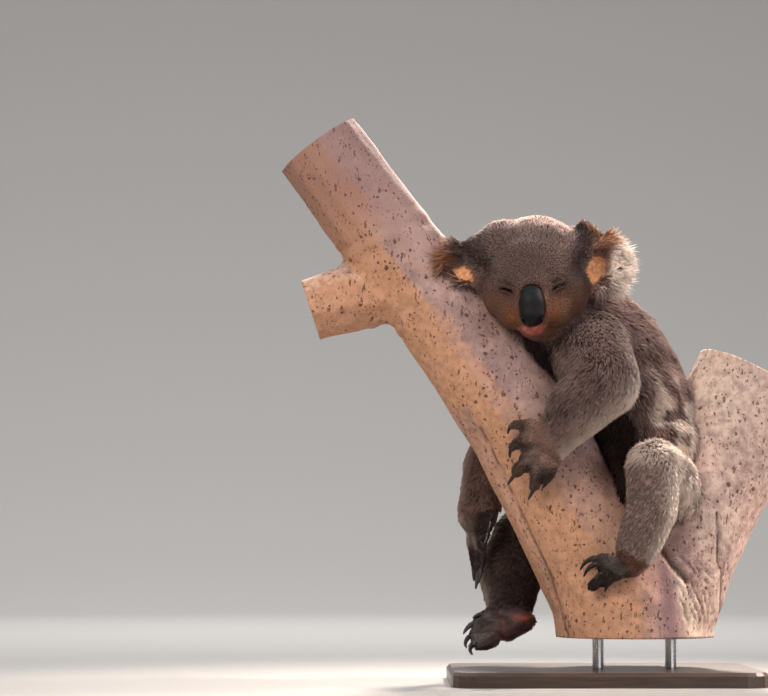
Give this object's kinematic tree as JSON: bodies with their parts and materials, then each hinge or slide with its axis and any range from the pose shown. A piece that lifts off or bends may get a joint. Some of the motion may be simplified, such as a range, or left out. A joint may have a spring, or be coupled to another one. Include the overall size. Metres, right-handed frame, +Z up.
{
  "type": "koala model on a perch",
  "caption": "Life-size still model of a koala asleep, hugging a forked gum-tree limb, its face turned to the front, on a flat base with short rods.",
  "frame": {"origin": "middle of the flat underside of the stand's base", "axes": "+Z up; the limb lies in the XZ plane and leans up to -X; the koala's face is turned to -Y and its back to +X"},
  "size_m": [0.6715, 0.3237, 0.705],
  "materials": {
    "fur_grey_brown": "dense woolly coat, grey-brown with paler tips, white fringes at the ears",
    "fur_pale": "short pale hair and pink lip",
    "nose_leather": "fine-grained, slightly moist",
    "eye_dark": "wet gloss",
    "claw_horn": "satin horn",
    "gum_bark": "smooth matt bark with small dark scars, sawn ends",
    "stand_wood": "dark satin",
    "stand_steel": "brushed"
  },
  "bodies": {
    "root": {"claw_foot_left_fifth": "claw_horn", "claw_foot_left_fourth": "claw_horn", "claw_foot_left_second": "claw_horn", "claw_foot_left_third": "claw_horn", "claw_foot_right_fifth": "claw_horn", "claw_foot_right_fourth": "claw_horn", "claw_foot_right_second": "claw_horn", "claw_foot_right_third": "claw_horn", "claw_hand_left_fifth": "claw_horn", "claw_hand_left_fourth": "claw_horn", "claw_hand_left_second": "claw_horn", "claw_hand_left_third": "claw_horn", "claw_hand_left_thumb": "claw_horn", "claw_hand_right_fifth": "claw_horn", "claw_hand_right_fourth": "claw_horn", "claw_hand_right_second": "claw_horn", "claw_hand_right_third": "claw_horn", "claw_hand_right_thumb": "claw_horn", "ear_left": "fur_grey_brown", "ear_right": "fur_grey_brown", "eye_left": "eye_dark", "eye_right": "eye_dark", "foot_left": "fur_grey_brown", "foot_right": "fur_grey_brown", "forearm_left": "fur_grey_brown", "forearm_right": "fur_grey_brown", "hand_left": "fur_grey_brown", "hand_right": "fur_grey_brown", "head": "fur_grey_brown", "jaw": "fur_pale", "neck": "fur_grey_brown", "nose": "nose_leather", "perch_forked_limb": "gum_bark", "rump": "fur_grey_brown", "shank_left": "fur_grey_brown", "shank_right": "fur_grey_brown", "stand_base": "stand_wood", "stand_rod_1": "stand_steel", "stand_rod_2": "stand_steel", "thigh_left": "fur_grey_brown", "thigh_right": "fur_grey_brown", "torso": "fur_grey_brown", "upper_arm_left": "fur_grey_brown", "upper_arm_right": "fur_grey_brown"}
  },
  "joints": []
}
